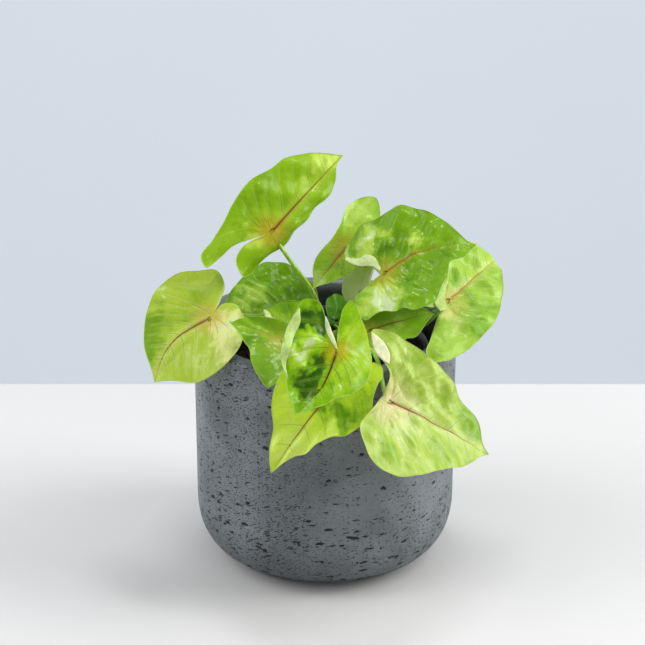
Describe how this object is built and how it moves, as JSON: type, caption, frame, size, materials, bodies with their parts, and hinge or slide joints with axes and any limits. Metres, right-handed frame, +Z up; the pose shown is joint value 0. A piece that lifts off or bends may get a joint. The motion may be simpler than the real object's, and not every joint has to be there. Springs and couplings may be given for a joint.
{
  "type": "potted plant",
  "caption": "Potted arrowhead plant (syngonium) with lime green leaves, in a black nursery pot inside a dark pitted planter with a rounded base.",
  "frame": {"origin": "middle of the planter's flat underside, on the surface that it stands on", "axes": "+Z up, -Y towards the front, +X to the right as seen from the front"},
  "size_m": [0.203, 0.19, 0.2319],
  "materials": {
    "planter_stone": "matte",
    "pot_black": "satin",
    "potting_mix": "matte",
    "stalk_green": "satin",
    "leaf_fresh": "satin",
    "leaf_pale": "satin",
    "leaf_deep": "satin"
  },
  "bodies": {
    "root": {"planter": "planter_stone", "nursery_pot": "pot_black", "potting_mix": "potting_mix", "shoot_left": "stalk_green", "shoot_back": "stalk_green", "shoot_right": "stalk_green", "shoot_front": "stalk_green", "shoot_small": "stalk_green", "leaf_top_left": "leaf_fresh", "leaf_far_left": "leaf_pale", "leaf_mid_left": "leaf_fresh", "leaf_rim_left": "leaf_fresh", "leaf_front_upper": "leaf_fresh", "leaf_front_lower": "leaf_fresh", "leaf_front_right": "leaf_pale", "leaf_top_right": "leaf_deep", "leaf_far_right": "leaf_fresh", "leaf_top_middle": "leaf_fresh", "leaf_folded_left": "leaf_fresh", "leaf_rim_right": "leaf_pale", "leaf_under_right": "leaf_deep", "leaf_young_rolled": "leaf_pale", "leaf_small_dark_1": "leaf_deep", "leaf_small_dark_2": "leaf_deep"}
  },
  "joints": []
}
